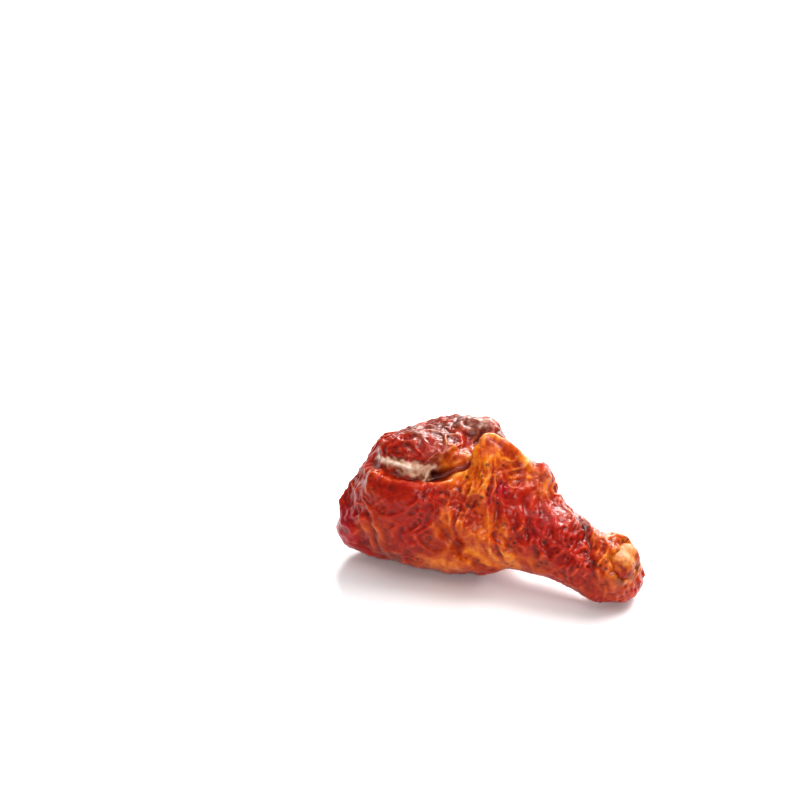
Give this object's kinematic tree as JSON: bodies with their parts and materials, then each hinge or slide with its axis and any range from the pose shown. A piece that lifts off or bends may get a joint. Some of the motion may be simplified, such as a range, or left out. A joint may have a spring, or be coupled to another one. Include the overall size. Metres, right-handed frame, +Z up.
{
  "type": "chicken wing drumette",
  "caption": "Cooked and glazed drumette of a chicken wing, lying on its side: a thick meaty end with folded skin, a tapering shank and a knuckle where the bone shows.",
  "frame": {"origin": "on the surface it rests on, under the middle of its box", "axes": "+X from the meaty end to the knuckle, +Z up, -Y towards the side that the picture shows"},
  "size_m": [0.0872, 0.0414, 0.0394],
  "materials": {
    "glazed_skin": "sticky red-brown glaze over browned skin",
    "cartilage": "satin, stained by the glaze"
  },
  "bodies": {
    "root": {"meat_and_skin": "glazed_skin", "arm_bone": "cartilage"}
  },
  "joints": []
}
